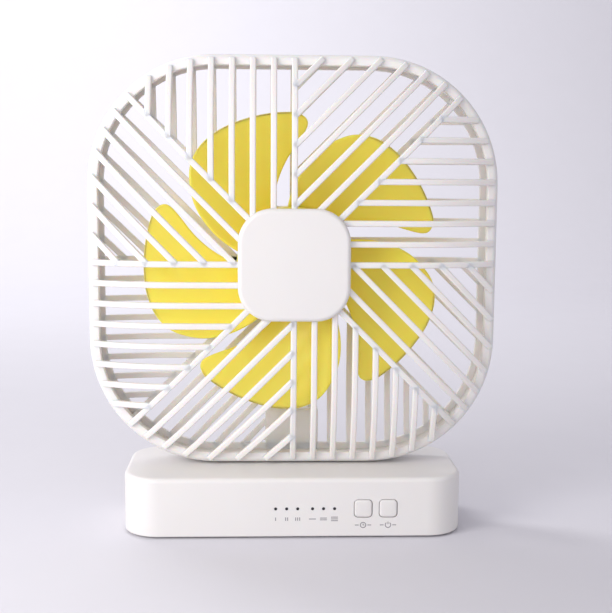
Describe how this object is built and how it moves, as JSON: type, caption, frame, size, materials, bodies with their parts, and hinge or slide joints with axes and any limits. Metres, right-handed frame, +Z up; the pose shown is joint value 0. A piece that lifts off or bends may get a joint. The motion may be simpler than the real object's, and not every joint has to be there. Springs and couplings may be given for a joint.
{
  "type": "desk fan",
  "caption": "Rechargeable desk fan: a rounded-square grilled head with swept blades, hinged to tilt back on a rounded battery base with push buttons and status lights.",
  "frame": {"origin": "on the floor plane under the middle of the whole fan's box", "axes": "+Z up; the grille, buttons and lights face -Y; +X is to the right as seen from the front; the blade axis runs along Y"},
  "size_m": [0.206, 0.0676, 0.2375],
  "materials": {
    "casing_plastic": "satin moulded ABS, warm white",
    "grille_plastic": "satin moulded ABS, warm white, on the ribs and rims",
    "key_plastic": "fine moulded ABS, white",
    "blade_plastic": "lemon yellow moulded polypropylene, soft gloss",
    "dark_plastic": "black moulded nylon",
    "light_pipe": "smoked clear acrylic",
    "board": "green soldermask on glass epoxy",
    "steel": "zinc-plated steel",
    "shaft_steel": "ground steel",
    "copper": "enamelled copper wire and bronze",
    "magnet": "sintered ferrite",
    "carbon": "pressed carbon",
    "cell_sleeve": "shrink sleeve over the cell's can",
    "nickel": "nickel strip",
    "foot_rubber": "grey moulded rubber",
    "lead_sheath": "white PVC sheath",
    "led": "phosphor under clear resin"
  },
  "bodies": {
    "base": {"base_shell": "casing_plastic", "base_cover": "casing_plastic", "base_screws": "steel", "rubber_feet": "foot_rubber", "battery_cells": "cell_sleeve", "battery_holder": "dark_plastic", "battery_tabs": "nickel", "control_board": "board", "switch_bodies": "dark_plastic", "light_pipe": "light_pipe", "status_leds": "led", "charge_port": "shaft_steel", "charge_board": "board", "board_screws": "steel", "hinge_seat": "casing_plastic", "friction_washers": "steel", "hinge_pin": "shaft_steel"},
    "head": {"front_grille": "grille_plastic", "centre_cap": "casing_plastic", "head_frame": "casing_plastic", "rear_grille": "grille_plastic", "rear_cap": "casing_plastic", "grille_screws": "steel", "hinge_bracket": "casing_plastic", "bracket_screws": "steel", "motor_can": "steel", "motor_end_cap": "dark_plastic", "motor_bushes": "copper", "motor_magnets": "magnet", "motor_brushes": "carbon", "motor_lead": "lead_sheath", "motor_retainer": "steel", "retainer_screws": "steel"},
    "rotor": {"fan_blades": "blade_plastic", "blade_clip": "steel", "motor_shaft": "shaft_steel", "motor_armature": "steel", "motor_windings": "copper", "commutator": "copper"},
    "timer_key": {"timer_button": "key_plastic", "timer_plunger": "dark_plastic"},
    "power_key": {"power_button": "key_plastic", "power_plunger": "dark_plastic"}
  },
  "joints": [
    {"name": "head_tilt", "type": "hinge", "parent": "base", "child": "head", "pos_m": [0, 0.0273, 0.0375], "axis": [-1, 0, 0], "range_deg": [0, 25]},
    {"name": "blade_spin", "type": "hinge", "parent": "head", "child": "rotor", "pos_m": [0, -0.0017, 0.1345], "axis": [0, 1, 0], "continuous": true},
    {"name": "timer_press", "type": "slide", "parent": "base", "child": "timer_key", "axis": [0, 1, 0], "range_m": [0, 0.0008], "stiffness_N_per_m": 400, "springref_m": -0.0002},
    {"name": "power_press", "type": "slide", "parent": "base", "child": "power_key", "axis": [0, 1, 0], "range_m": [0, 0.0008], "stiffness_N_per_m": 400, "springref_m": -0.0002}
  ]
}
